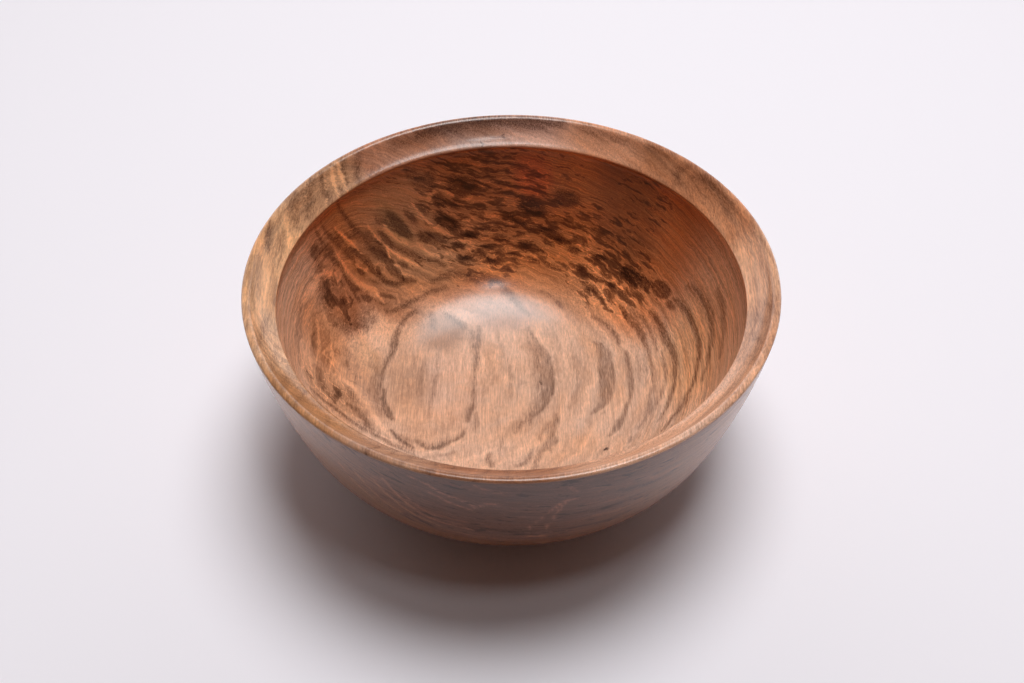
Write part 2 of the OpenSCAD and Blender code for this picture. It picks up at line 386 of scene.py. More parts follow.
UPPER_LEFT_STROKES = [
    ((1, 1.4), 0.75, [(-88, 69, 0.6), (-76.3, 72, 1.5), (-66.3, 74.1, 2.4), (-57.7, 69.9, 1.5),
        (-51.3, 72, 0.5)]),
    ((1, 1.2), 0.7, [(-85.6, 62.7, 0.6), (-80.6, 65.6, 1.2), (-74.9, 67.7, 1.4), (-69, 64.9, 1),
        (-62, 66.3, 1.2), (-57.7, 69.1, 0.5)]),
    ((1, 1.2), 0.65, [(-94.9, 57, 0.6), (-88.4, 60.6, 1.2), (-82, 62.7, 1)]),
    ((1, 1.2), 0.65, [(-97.7, 52.7, 0.7), (-92, 53.6, 1.4), (-87.7, 55.6, 0.8)]),
    ((1, 1.2), 0.6, [(-87.7, 54.9, 0.8), (-83.4, 52.7, 1.4), (-80, 50, 1)]),
    ((1, 1.2), 0.65, [(-67, 79.1, 0.5), (-62, 79.5, 0.8), (-52.7, 81.3, 1.1), (-44, 82, 0.5)]),
    (1.2, 0.65, [(-55, 97, 0.4), (-48, 99, 0.9), (-41, 100.6, 0.6)]),
    (1.2, 0.6, [(-71, 80.4, 0.5), (-66, 83, 1), (-60, 84.4, 0.8)]),
    (0.7, -0.75, [(-74.9, 76.3, 0.3), (-66.3, 76.9, 0.5), (-62.7, 73.6, 0.5), (-59, 74.9, 0.3)]),
    (0.7, -0.7, [(-89.9, 62.7, 0.3), (-83.4, 66.3, 0.5), (-76.3, 67.6, 0.4)]),
    (0.7, -0.6, [(-82, 62, 0.3), (-76.3, 63.6, 0.4), (-75.4, 66.3, 0.3)]),
    (1, -0.45, [(-89.9, 57, 0.6), (-79.9, 57, 1.3), (-72, 59, 1.3), (-67.7, 55.6, 0.6)]),
    (0.9, -0.6, [(-69, 81.6, 0.4), (-62, 82, 0.9), (-55.6, 83.6, 0.5)]),
    (0.8, -0.65, [(-66.3, 77.7, 0.4), (-57.7, 78, 0.7), (-50, 78.6, 0.4)]),
    (0.7, -0.65, [(-62, 74.9, 0.3), (-57.7, 72.6, 0.4), (-52.7, 73.6, 0.3)]),
    (0.7, -0.6, [(-52.7, 93.6, 0.3), (-43.4, 93, 0.5), (-34, 93.4, 0.4), (-27.7, 95.2, 0.3)]),
    (0.7, -0.55, [(-44.9, 97.4, 0.3), (-38.4, 101.6, 0.4), (-31.3, 102.2, 0.4), (-20.6, 104.1, 0.3)]),
    (0.7, -0.6, [(-26.3, 98.6, 0.3), (-17, 101.3, 0.5), (-5, 102, 0.3)]),
    (0.7, -0.65, [(-31.3, 92.2, 0.3), (-22.7, 93.4, 0.5), (-12, 91, 0.5), (-5, 92.7, 0.3)]),
    (0.7, -0.75, [(-25.6, 85.6, 0.4), (-17, 86.6, 0.6), (-8.4, 85.6, 0.4)]),
    (0.7, -0.6, [(-50.6, 85.8, 0.3), (-43.4, 84.6, 0.5), (-34, 87, 0.3)]),
    (0.8, -0.55, [(-99.5, 38, 0.3), (-95, 46, 0.6), (-90, 51, 0.4)]),
    (0.8, -0.5, [(-104, 22, 0.3), (-101, 32, 0.6), (-97, 41, 0.4)]),
    (0.8, -0.45, [(-92, 20, 0.4), (-90, 10, 0.8), (-92, 0, 0.4)]),
    (0.8, -0.45, [(-98, 24, 0.4), (-96.6, 12, 0.7), (-97, 2, 0.4)]),
]
LEFT_WALL_STROKES = [
    (1.4, 0.34, [(-73.6, 6, 0.3), (-73, 2, 0.8), (-73, -2, 0.3)]),
    (1.8, 0.3, [(-79.4, 15, 0.4), (-79.6, 9, 0.8), (-79.4, 3, 0.4)]),
    (1.8, 0.26, [(-83, 21, 0.3), (-83.6, 14, 0.8), (-83, 8, 0.3)]),
    (1, 0.38, [(-98.6, 21, 0.2), (-99.2, 13, 0.4), (-99, 5, 0.2)]),
    (1, 0.3, [(-104, 18, 0.2), (-104.6, 8, 0.4), (-104, -4, 0.2)]),
    ((4, 2.4), 0.4, [(-96.6, 46, 1.6), (-95, 36, 3.4), (-91, 31, 2.8), (-86.6, 32.4, 3.4), (-82, 36.4, 3.6),
        (-77, 40.6, 3.6), (-73.4, 46, 3.2)]),
    (2, 0.45, [(-96, -2, 1.2), (-95, -6, 1.6), (-93, -12, 2.2), (-90, -14, 1.4)]),
    (2, 0.42, [(-82, -2, 1), (-80.6, -5, 1.8), (-79, -9, 1.4)]),
    ((2, 1.6), 0.5, [(-81, -13, 1), (-77.4, -14.6, 2), (-74, -18, 2), (-70.6, -22.6, 1.2)]),
    (2, 0.3, [(-88, -5, 1.6), (-86, -10, 2)]),
    ((1.2, 1.4), 0.56, [(-98, -20, 0.6), (-93, -20.8, 1.2), (-88, -20.8, 1.2), (-83, -22.4, 1),
        (-77.6, -24.8, 1.2), (-71.4, -26.8, 1.2), (-66, -28.6, 0.9), (-62, -30.6, 1.2), (-58, -33.2, 1),
        (-52.6, -35.6, 0.8), (-46, -38.4, 0.6)]),
    (1.2, 0.42, [(-75, -22.6, 0.6), (-70, -24.6, 1), (-65.6, -26.6, 0.6)]),
    (1, 0.5, [(-63.4, -29.4, 0.8), (-60.8, -32.8, 0.6)]),
    (1, 0.36, [(-58, -31, 0.4), (-52, -33.6, 0.5), (-46, -35.6, 0.3)]),
    (2, -0.25, [(-88, 3, 1.2), (-80, 0, 1.6), (-75, -6, 1.6), (-70, -12, 1.6), (-66, -20, 1.4),
        (-60, -26, 0.8)]),
]

# Dark blots of the walls, in plan: centre, half-length, half-width, angle from +X in degrees, and depth
FAR_LEFT_BLOTS = [
    (-59, 86, 7, 1.8, 8, 0.8), (-53.4, 90.6, 3.6, 1, 10, 0.85), (-46, 88.8, 5, 1.4, 12, 0.85),
    (-40.6, 90.4, 8, 1.9, 12, 0.62), (-34.8, 96.2, 6.6, 1.5, 6, 1), (-21.6, 95.4, 3.8, 1, 6, 0.85),
    (-38.4, 99.2, 4, 1.2, 12, 0.9), (-43, 101.4, 3, 0.9, 14, 0.8), (-26, 104.6, 8.5, 1.8, 13, 0.8),
    (-65.6, 79.2, 5.2, 1.2, 8, 0.75), (-42, 83, 4.2, 0.9, 14, 0.55), (-37, 82.4, 2.6, 0.9, 10, 0.45),
    (-58.2, 75.8, 3.6, 1.4, 20, 0.5), (-79, 71, 5, 1.6, 33, 0.5), (-71, 74.6, 6, 2.4, 14, 0.52),
    (-64.4, 72, 3.6, 2.6, -40, 0.52), (-55, 71.2, 4.6, 1, 20, 0.62), (-72, 66.2, 4.6, 1.4, 10, 0.62),
    (-79, 61.6, 2.6, 1.1, 22, 0.72), (-72, 62.4, 2.2, 0.6, 15, 0.6), (-66, 59.6, 5.4, 1.1, 15, 0.52),
    (-75.6, 53.4, 4.2, 1.5, 22, 0.7), (-82, 54, 4.6, 1.2, 12, 0.55), (-67.6, 55.2, 2.6, 0.8, 20, 0.5),
    (-87.4, 44, 2.8, 1.4, 60, 0.4), (-98.4, 47, 4.2, 1.4, 62, 0.7), (-94, 53, 5, 1.4, 52, 0.62),
    (-87.6, 62.8, 3.2, 0.8, 24, 0.6), (-84, 66.6, 3, 0.8, 36, 0.55), (-47, 94.6, 3.4, 0.8, 14, 0.7),
    (-30, 100.6, 3.4, 0.9, 12, 0.7), (-29, 91, 4, 0.9, 8, 0.5), (-50, 80.4, 3, 0.9, 20, 0.45),
    (-13, 98.6, 3.4, 0.9, 2, 0.8), (-14, 93, 3.6, 0.8, 4, 0.5),
]
FAR_RIGHT_BLOTS = [
    (23.4, 84, 6, 1.4, -23, 0.6), (2.4, 85.6, 3.2, 0.9, -30, 0.4), (12.2, 87.6, 3.6, 1.1, -12, 0.45),
    (33.6, 82.8, 2.8, 1, -38, 0.72), (37.4, 80.6, 3.2, 1.2, -30, 0.62), (40.8, 77.2, 6.5, 1.1, -24, 0.52),
    (48.2, 73.2, 3.2, 1.4, -28, 0.72), (43, 70, 5.6, 0.9, -36, 0.45), (25.8, 66, 4.6, 1.2, -52, 0.36),
    (20.8, 71.4, 2, 0.7, -50, 0.28), (54.4, 68.8, 3.2, 1.2, -38, 0.75), (16.4, 73.4, 2.2, 0.7, -20, 0.28),
    (78.6, 54.8, 7.5, 2.6, -52, 0.85), (83, 45, 4.2, 1.4, -58, 0.7), (47.8, 82, 4.2, 1.1, -25, 0.85),
    (33.8, 88.4, 4.2, 1.2, -24, 0.82), (22.2, 95.6, 8, 1.4, -21, 0.95), (29, 92.4, 4, 1, -22, 0.8),
    (4, 100.6, 6, 1, -14, 0.85), (-5, 96.4, 5, 0.9, -8, 0.6), (12, 103, 9, 1.5, -12, 0.85),
    (30, 101.6, 8, 1.4, -17, 0.85), (17, 90.6, 3.6, 0.8, -20, 0.6), (8, 93, 4.2, 0.9, -16, 0.55),
    (60.6, 62, 3.2, 0.8, -48, 0.45), (1, 90.6, 3.4, 0.9, -14, 0.5),
]
# The small black knot at the near right, in the same terms
PIN_KNOTS = [(46.5, -33.5, 1.3, 0.85, 40, 3.2)]

# Strokes of the rim, whose points are (degrees from +X, part of the way out, half-width)
RIM_STROKES = [
    (1.6, 0.4, [(2, 0.96, 0.4), (8, 0.84, 0.8), (14, 0.78, 1), (19, 0.9, 0.8)]),
    (1.4, 0.25, [(353, 0.7, 0.4), (2, 0.62, 0.5), (9, 0.5, 0.4)]),
    (3.5, 0.42, [(23, 0.6, 1.5), (29, 0.72, 2.2), (35, 0.74, 2.5), (39, 0.62, 2)]),
    (3, 0.42, [(41.5, 0.8, 1.5), (44, 0.5, 2.2), (42, 0.2, 1.6)]),
    (3, 0.38, [(47, 0.8, 1.6), (51, 0.82, 1.8), (54, 0.7, 1.2)]),
    (3, 0.35, [(60, 0.66, 1.2), (66, 0.6, 1.6), (72, 0.72, 1.8)]),
    ((3.5, 3), 0.85, [(77, 0.72, 1.6), (84, 0.7, 3), (92, 0.72, 2.8), (100, 0.74, 2.8), (108, 0.72, 2.8),
        (114, 0.66, 2)]),
    (3, 0.45, [(114, 0.6, 1.5), (121, 0.6, 1.8)]),
    (2, 0.5, [(129.5, 0.8, 1.2), (132.5, 0.45, 1.8), (134.5, 0.1, 1.6)]),
    (2, 0.55, [(134, 0.9, 1.4), (136, 0.6, 1.6), (137.2, 0.2, 1.2)]),
    (1.6, 0.55, [(139.8, 0.2, 1.2), (140.4, 0, 1)]),
    (2, 0.52, [(141.6, 0.8, 1.2), (144, 0.4, 2.2), (144.6, 0.1, 1.6)]),
    (3, 0.45, [(145, 0.8, 1.6), (149, 0.5, 2.8), (153, 0.2, 1.8)]),
    (3, 0.38, [(151, 0.8, 1.6), (155, 0.55, 2), (158, 0.15, 1.6)]),
    ((2, 1.6), 0.5, [(162, 0.84, 0.8), (165, 0.74, 1.8), (168, 0.62, 1.4), (169.6, 0.54, 0.6)]),
    ((2.4, 2), 0.36, [(160, 0.42, 0.8), (165, 0.32, 1.4), (170, 0.22, 1.4), (174, 0.1, 0.6)]),
    (1.6, 0.26, [(174, 0.86, 0.5), (182, 0.72, 1), (190, 0.8, 0.8), (197, 0.92, 0.4)]),
    (2, 0.34, [(188, 0.16, 0.5), (194, 0.36, 1.2), (199, 0.58, 1.6), (203, 0.8, 1.4)]),
    (1.8, 0.26, [(199, 0.1, 0.5), (204, 0.35, 1.2), (209, 0.65, 1.3), (212, 0.85, 0.8)]),
    (1.8, 0.26, [(207, 0.1, 0.5), (211, 0.35, 1), (215, 0.7, 1.2), (217, 0.9, 0.8)]),
    (1.5, 0.3, [(216, 0.1, 0.6), (219, 0.5, 1.2), (222, 0.9, 0.8)]),
    (1.5, 0.28, [(226, 0.2, 0.6), (229, 0.6, 1.2), (231, 0.9, 0.6)]),
    (1, 0.8, [(241.6, 1.25, 0.7), (241.4, 0.96, 0.9), (240.8, 0.7, 0.6), (240.4, 0.2, 0.5)]),
    (1.2, 0.3, [(244, 0.1, 0.8), (244.6, 0.9, 0.8)]),
    (1.2, 0.3, [(248, 0.1, 0.8), (248.4, 0.9, 0.6)]),
    (1, 0.42, [(253.4, 0.1, 0.5), (254.6, 0.5, 0.5), (254.4, 1.1, 0.4)]),
    (1.6, 0.34, [(257.6, 0.1, 1), (258, 0.8, 0.8)]),
    (1.6, 0.38, [(265, 0.1, 1.2), (264, 0.5, 1.2), (263, 1, 0.9)]),
    (1.6, 0.36, [(269, 0.1, 1.2), (269.4, 0.9, 0.6)]),
    (2, 0.28, [(273, 0.1, 1.2), (273.4, 0.8, 0.6)]),
    (2, 0.24, [(279, 0.1, 1.2), (278.4, 0.7, 0.8)]),
    (1.6, 0.26, [(331, 0.8, 0.6), (334, 0.6, 1.2), (336, 0.4, 0.8)]),
    (1.6, 0.26, [(338, 0.7, 0.6), (341, 0.45, 1.2), (344, 0.2, 0.8)]),
    (1.6, 0.28, [(345, 0.6, 0.6), (348, 0.4, 1), (351, 0.2, 0.8)]),
    (1.6, 0.3, [(347, 0.85, 0.6), (350.5, 0.65, 1.2), (353, 0.5, 0.8)]),
    (0.8, -0.55, [(136.2, 0.78, 1), (137, 0.55, 1.6), (138, 0.25, 0.9), (138.8, 0, 0.6)]),
    (0.8, -0.55, [(138.4, 0.74, 1), (140, 0.5, 1.5), (141.2, 0.2, 0.8), (142, 0, 0.6)]),
    (0.8, -0.5, [(141.2, 0.7, 0.4), (143.4, 0.4, 0.6), (146.6, 0.04, 0.6)]),
    (0.8, -0.35, [(145.6, 0.95, 0.5), (148.4, 0.72, 0.6), (151, 0.45, 0.4)]),
    (0.9, -0.3, [(123.8, 1, 0.6), (124, 0.5, 0.7), (124.2, 0.05, 0.5)]),
    (0.9, -0.32, [(126.2, 1, 0.6), (126, 0.5, 0.8), (125.8, 0.05, 0.5)]),
    (1.6, -0.28, [(155, 0.85, 0.8), (158.5, 0.6, 1.6), (163, 0.2, 1.2), (165.5, 0.05, 0.6)]),
    (2, -0.28, [(166, 0.95, 0.8), (170.5, 0.65, 1.6), (175, 0.42, 2.2), (182, 0.34, 2), (190, 0.5, 1.6),
        (196, 0.8, 1)]),
    (0.8, -0.15, [(212.4, 0.06, 0.5), (216.6, 0.6, 0.7), (219.4, 1.05, 0.5)]),
    (0.8, -0.15, [(221, 0.1, 0.5), (225, 0.6, 0.7), (227, 1, 0.5)]),
    (0.8, -0.15, [(229.4, 0.2, 0.5), (232.6, 0.9, 0.6), (233.2, 1.1, 0.5)]),
    (0.9, -0.35, [(262.6, 0.05, 0.8), (261.8, 0.5, 0.5), (261.4, 0.9, 0.3)]),
    (0.8, -0.4, [(254.4, 0.1, 0.4), (255.8, 0.6, 0.4), (255.2, 1.1, 0.4)]),
]

# Strokes of the outside wall, whose points are (degrees from +X, height, half-width)
OUTSIDE_STROKES = [
    (1, -0.75, [(250, 100, 0.5), (253.6, 97, 0.7), (256, 92, 0.8), (260, 88, 0.7), (262.6, 84, 0.5)]),
    (1, -0.65, [(253.6, 90, 0.4), (257, 85, 0.8), (261.6, 80, 0.8), (263, 83, 0.6), (265, 87, 0.7),
        (268, 88, 0.3)]),
    (1, -0.6, [(262.6, 103, 0.5), (265, 99, 0.6), (268, 97, 0.4)]),
    (1.2, -0.6, [(243.6, 90, 0.5), (245.6, 80, 0.8), (248, 71, 0.9), (251, 64, 0.8), (256, 60, 0.7),
        (262, 57.5, 0.4)]),
    (1.2, -0.5, [(240.6, 86, 0.4), (242.6, 76, 0.8), (245.6, 67, 0.9), (249, 60, 0.8), (254, 55.6, 0.5)]),
    (1.2, -0.5, [(247.4, 82, 0.4), (250.4, 72, 0.6), (255, 65, 0.8), (260, 61.6, 0.6), (266, 60.6, 0.3)]),
    (1.2, -0.4, [(236, 84, 0.4), (238, 74, 0.8), (241, 64, 0.8), (246, 56, 0.6)]),
    (1.2, -0.4, [(232, 82, 0.4), (234, 70, 0.8), (238, 59, 0.8)]),
    (0.9, -0.7, [(273.4, 52, 0.6), (273.2, 58, 0.5), (273.8, 64, 0.5), (276, 72, 0.4), (278, 80, 0.5),
        (279.8, 86, 0.8), (283, 88, 0.4)]),
    (0.9, -0.7, [(276.6, 54, 0.8), (277.4, 62, 0.5), (278.8, 72, 0.5), (279.8, 80, 0.5), (280.8, 87, 0.6)]),
    (1, -0.7, [(273, 51.5, 0.8), (277.6, 50.5, 0.7)]),
    (1, -0.45, [(268, 77, 0.4), (272, 75, 0.6), (275, 73.6, 0.3)]),
    (1, -0.4, [(283, 93, 0.5), (281, 98, 0.6), (280.6, 103, 0.4)]),
    (1.6, -0.35, [(285, 80, 0.5), (291, 77, 1), (297, 76, 0.6)]),
    (1.6, -0.35, [(287, 66, 0.5), (293, 63, 1), (300, 64, 0.6)]),
    (1.6, -0.35, [(296, 90, 0.5), (300, 84, 1), (307, 82, 0.6)]),
    (1.2, 0.7, [(248, 58, 0.8), (250, 56, 1.4), (252, 52, 0.8)]),
    (1.4, 0.45, [(262, 62, 0.8), (270, 58, 1), (277, 57, 0.6)]),
    (1.4, 0.45, [(282, 56, 0.6), (290, 54, 0.9), (299, 56, 0.5)]),
    (2, 0.35, [(284, 72, 1), (291, 70.6, 1.6), (298, 72, 1)]),
    (2, 0.35, [(292, 84, 1.2), (299, 80, 1.6), (305, 78, 1)]),
]

# Tones of the wood between its marks
PALE = (0.76, 0.45, 0.30)
PINK_TAN = (0.72, 0.43, 0.295)
TAN = (0.69, 0.42, 0.285)
OCHRE = (0.58, 0.28, 0.13)
RED_BROWN = (0.52, 0.11, 0.035)
OLIVE = (0.30, 0.17, 0.08)
END_GRAIN = (0.50, 0.165, 0.052)
OUTSIDE_END = (0.13, 0.054, 0.034)
OUTSIDE_SIDE = (0.44, 0.21, 0.11)
BELLY = (0.19, 0.058, 0.018)
# What one full step of darkness leaves of the wood's red, green and blue
GREY_MARK = (0.36, 0.325, 0.31)
BROWN_MARK = (0.28, 0.24, 0.23)

# Broad tints of the inside, in plan: centre, half-sizes, angle in degrees, tone and weight. Two of them, on
# the far wall just under the rim, are painted shade.
INSIDE_TINTS = [
    (-32, 15, 24, 40, 0, PINK_TAN, 0.9),
    (-54, 15, 14, 32, 0, (0.53, 0.275, 0.155), 0.6),
    (-30, 18, 12, 30, 0, PALE, 0.35),
    (4, 40, 50, 30, 0, TAN, 0.6),
    (30, -30, 30, 14, 0, (0.68, 0.38, 0.23), 0.6),
    (-48, 86, 50, 22, 25, (0.43, 0.21, 0.105), 0.85),
    (-86, 42, 17, 14, -20, (0.41, 0.145, 0.058), 0.8),
    (-36, 47, 18, 14, 30, (0.38, 0.205, 0.125), 0.9),
    (-4, 62, 28, 13, 0, (0.42, 0.255, 0.19), 0.8),
    (-74, 22, 10, 16, 0, OCHRE, 0.6),
    (-94, 18, 15, 24, 0, (0.57, 0.235, 0.095), 0.75),
    (-88, -12, 20, 16, -30, (0.58, 0.25, 0.10), 0.6),
    (-76, 2, 13, 28, 12, (0.47, 0.235, 0.13), 0.75),
    (-62, 58, 16, 12, 20, (0.42, 0.18, 0.085), 0.7),
    (-70, 38, 10, 14, 30, TAN, 0.7),
    # Painted shade: this spot and the one at (62, 88) darken the far wall where it lies under the rim's
    # overhang
    (-8, 103, 50, 17, 0, (0.35, 0.12, 0.045), 0.8),
    (12, 108, 13, 4, -8, RED_BROWN, 0.75),
    (-61, 85, 11, 4, 10, OLIVE, 0.6),
    (92, 10, 20, 40, 0, (0.75, 0.39, 0.20), 0.9),
    (60, 62, 40, 22, -50, (0.66, 0.24, 0.09), 0.8),
    (30, 68, 34, 16, -20, (0.60, 0.26, 0.115), 0.6),
    # Painted shade under the rim's overhang, on the far right wall
    (62, 88, 28, 17, -52, (0.26, 0.085, 0.028), 0.85),
]

# Tones round the rim: each stretch runs from one angle to another, in degrees. On the far rim, from 80 to
# 106 degrees, the tones are partly the wood's own and partly a painted sheen.
RIM_STRETCHES = [
    (288, 330, (0.68, 0.38, 0.245)),
    (336, 350, (0.52, 0.275, 0.17)),
    (356, 12, (0.68, 0.36, 0.21)),
    (18, 28, (0.50, 0.22, 0.11)),
    (36, 52, (0.44, 0.18, 0.085)),
    (60, 72, (0.57, 0.27, 0.155)),
    # Painted sheen: this stretch, and less so the next, is paler and greyer than the wood there, standing in
    # for part of the far rim's gloss
    (80, 90, (0.58, 0.32, 0.23)),
    (96, 106, (0.42, 0.22, 0.15)),
    (112, 130, (0.40, 0.18, 0.105)),
    (136, 154, (0.47, 0.245, 0.13)),
    (160, 186, (0.61, 0.33, 0.17)),
    (194, 206, (0.61, 0.34, 0.19)),
    (212, 230, (0.42, 0.20, 0.09)),
    (238, 250, (0.41, 0.22, 0.135)),
    (256, 276, (0.33, 0.14, 0.072)),
]

# Where the procedural mottling darkens the inside, in plan: centre, half-sizes, angle and share
MOTTLED = [
    (-8, 98, 62, 26, 0, 0.70),
    (-66, 76, 36, 28, 40, 0.32),
    (52, 74, 40, 22, -42, 0.78),
    (70, 84, 26, 14, -45, 0.5),
    (-88, 42, 16, 15, -20, 0.5),
    (-90, -10, 18, 15, 0, 0.50),
    (0, -98, 90, 24, 0, 0.62),
]
RIM_MOTTLE = 0.1
OUTSIDE_MOTTLE = 0.35

# The layers of growth, which the figure runs along. Each is a sheet that falls to the right, rises away from
# the camera and is lifted round the left of the wall, between these angles, in degrees, and these heights.
LAYER_LEAN = (0.16, -0.08)
LAYER_LIFT = 32.0
LIFT_START = (95.0, 145.0)
LIFT_END = (190.0, 260.0)
LIFT_HEIGHTS = (13.0, 75.0)

# How far past its points a stroke is looked for, how softly a blot fades, and the most that a ramp can be
STROKE_MARGIN = 10.0
BLOT_FADE = 0.55
RAMP_TOP = 1.4

# The radii that a rim stroke's part of the way runs between, and how the outside wall is unrolled flat: its
# radius, and the side where it starts, which faces the camera
RIM_INNER_R, RIM_OUTER_R = 110.4, 125.0
UNROLL_R = 118.0
NEAR_SIDE = 270

# The sets of strokes inside, with the gain in depth and the extra half-width that each one gets
STROKE_SETS = [
    (EYE_STROKES, 1.55, 0.5),
    (FLOOR_STROKES, 1.2, 0.4),
    (RIGHT_WALL_STROKES, 1.3, 0.3),
    (FAR_STROKES, 1.3, 0.3),
    (LEFT_WALL_STROKES, 1.2, 0.2),
    (UPPER_LEFT_STROKES, 1.1, 0.1),
]
OUTSIDE_GAIN = 1.5
OUTSIDE_WIDER = 0.2


def ease(value, low, high):
    """0 at low and 1 at high, with an eased rise between."""
    t = np.clip((value - low) / (high - low), 0, 1)
    return t * t * (3 - 2 * t)


def layer_level(points):
    """Which layer of growth each point lies in, told by that layer's height at the bowl's axis."""
    x, y, z = points.T
    angle = np.degrees(np.arctan2(y, x)) % 360
    lift = ease(angle, *LIFT_START) * (1 - ease(angle, *LIFT_END)) * ease(z, *LIFT_HEIGHTS)
    return z + LAYER_LEAN[0] * x + LAYER_LEAN[1] * y - LAYER_LIFT * lift


def soft_spot(flat, x, y, half_x, half_y, angle):
    """1 in the middle of an oval, and 0 from a little past its edge."""
    turn = radians(angle)
    dx, dy = flat[:, 0] - x, flat[:, 1] - y
    u = (dx * cos(turn) + dy * sin(turn)) / half_x
    v = (dy * cos(turn) - dx * sin(turn)) / half_y
    return 1 - ease(np.hypot(u, v), 0.35, 1.15)


def stroke_ramp(flat, path, fades, wider):
    """How far within a stroke each point lies: 0.5 on its edge, 1 a fade within it, 0 a fade outside it."""
    path = np.array(path, float) + (0, 0, wider)
    left, right = np.broadcast_to(fades, 2)
    ramp = np.zeros(len(flat))
    low, high = path[:, :2].min(0) - STROKE_MARGIN, path[:, :2].max(0) + STROKE_MARGIN
    near = ((flat > low) & (flat < high)).all(1)
    p = flat[near]
    best = np.zeros(len(p))
    for a, b in zip(path[:-1], path[1:]):
        step = b[:2] - a[:2]
        t = np.clip(((p - a[:2]) @ step) / (step @ step), 0, 1)
        off = p - a[:2] - t[:, None] * step
        side = step[0] * off[:, 1] - step[1] * off[:, 0]
        fade = np.where(side > 0, left, right)
        best = np.maximum(best, 0.5 + (a[2] + t * (b[2] - a[2]) - np.linalg.norm(off, axis=1)) / fade * 0.5)
    ramp[near] = np.clip(best, 0, RAMP_TOP)
    return ramp


def blot_ramp(flat, x, y, long, wide, angle):
    """The same ramp for an oval blot."""
    turn = radians(angle)
    dx, dy = flat[:, 0] - x, flat[:, 1] - y
    u = (dx * cos(turn) + dy * sin(turn)) / long
    v = (dy * cos(turn) - dx * sin(turn)) / wide
    return np.clip(0.5 + (1 - np.hypot(u, v)) * wide / (2 * BLOT_FADE), 0, RAMP_TOP)


class Marks:
    """The drawn marks at each vertex: the ramp of the strongest one there, and its depth."""

    def __init__(self, count):
        self.ramp = np.zeros(count)
        self.depth = np.zeros(count)

    def add(self, where, ramp, depth):
        index = np.flatnonzero(where)
        stronger = ramp * (0.4 + abs(depth)) > self.ramp[index] * (0.4 + abs(self.depth[index]))
        self.ramp[index[stronger]] = ramp[stronger]
        self.depth[index[stronger]] = depth


def draw_marks(points, regions):
    """All drawn marks, each in the flat map of its own region."""
    marks = Marks(len(points))
    inside, rim, outside = (regions == region for region in (INSIDE, RIM, OUTSIDE))
    plan = points[inside, :2]
    for strokes, gain, wider in STROKE_SETS:
        for fades, depth, path in strokes:
            marks.add(inside, stroke_ramp(plan, path, fades, wider), depth * gain)
    for x, y, long, wide, angle, depth in FAR_LEFT_BLOTS + FAR_RIGHT_BLOTS + PIN_KNOTS:
        marks.add(inside, blot_ramp(plan, x, y, long, wide, angle), depth)
    plan = points[rim, :2]
    for fades, depth, path in RIM_STROKES:
        flat = []
        for degrees, part, half in path:
            r = RIM_INNER_R + part * (RIM_OUTER_R - RIM_INNER_R)
            flat.append((r * cos(radians(degrees)), r * sin(radians(degrees)), half))
        marks.add(rim, stroke_ramp(plan, flat, fades, 0), depth)
    x, y, height = points[outside].T
    unrolled = np.column_stack((np.arctan2(x, -y) * UNROLL_R, height))
    for fades, depth, path in OUTSIDE_STROKES:
        flat = [(radians(degrees - NEAR_SIDE) * UNROLL_R, z, half) for degrees, z, half in path]
        marks.add(outside, stroke_ramp(unrolled, flat, fades, OUTSIDE_WIDER), depth * OUTSIDE_GAIN)
    return marks


def blend(colours, target, weight):
    """Colours moved towards a target by a weight at each vertex."""
    return colours + (np.array(target) - colours) * weight[:, None]


def rim_tones(points):
    """The tone round the rim at each point's angle, blended between one stretch and the next."""
    angle = np.degrees(np.arctan2(points[:, 1], points[:, 0])) % 360
    stops, tones = [], []
    for start, end, tone in RIM_STRETCHES:
        stops += [start, end]
        tones += [tone, tone]
    order = np.argsort(stops)
    stops, tones = np.array(stops, float)[order], np.array(tones)[order]
    return np.column_stack([np.interp(angle, stops, tones[:, i], period=360) for i in range(3)])


def wood_tints(points, regions, facing):
    """The wood's tone at each vertex. Facing is how squarely the surface cuts across the fibres there."""
    inside = (regions == INSIDE).astype(float)
    outside = (regions >= OUTSIDE).astype(float)
    height = points[:, 2]
    colours = np.tile(np.array(TAN), (len(points), 1))
    colours = blend(colours, END_GRAIN, ease(facing, 0.22, 0.6) * inside)
    for x, y, half_x, half_y, angle, colour, weight in INSIDE_TINTS:
        spot = soft_spot(points[:, :2], x, y, half_x, half_y, angle)
        colours = blend(colours, colour, spot * weight * inside)
    colours = np.where((regions == RIM)[:, None], rim_tones(points), colours)
    colours = blend(colours, OUTSIDE_SIDE, outside)
    colours = blend(colours, OUTSIDE_END, ease(facing, 0.5, 1.0) * outside)
    return blend(colours, BELLY, ease(height, 56, 34) * outside * 0.85)


def mark_tints(points, facing):
    """What a full step of darkness leaves: greyish on the long grain of the floor, brown on the walls."""
    colours = np.tile(np.array(GREY_MARK), (len(points), 1))
    brown = np.maximum(ease(facing, 0.15, 0.5), ease(points[:, 2], 18, 40))
    return blend(colours, BROWN_MARK, brown)


def mottle_share(points, regions, facing):
    """How much of the wood the mottling darkens round each vertex."""
    share = np.zeros(len(points))
    for x, y, half_x, half_y, angle, amount in MOTTLED:
        share = np.maximum(share, soft_spot(points[:, :2], x, y, half_x, half_y, angle) * amount)
    elsewhere = np.where(regions == RIM, RIM_MOTTLE, ease(facing, 0.4, 0.9) * OUTSIDE_MOTTLE)
    return np.where(regions == INSIDE, share, elsewhere)


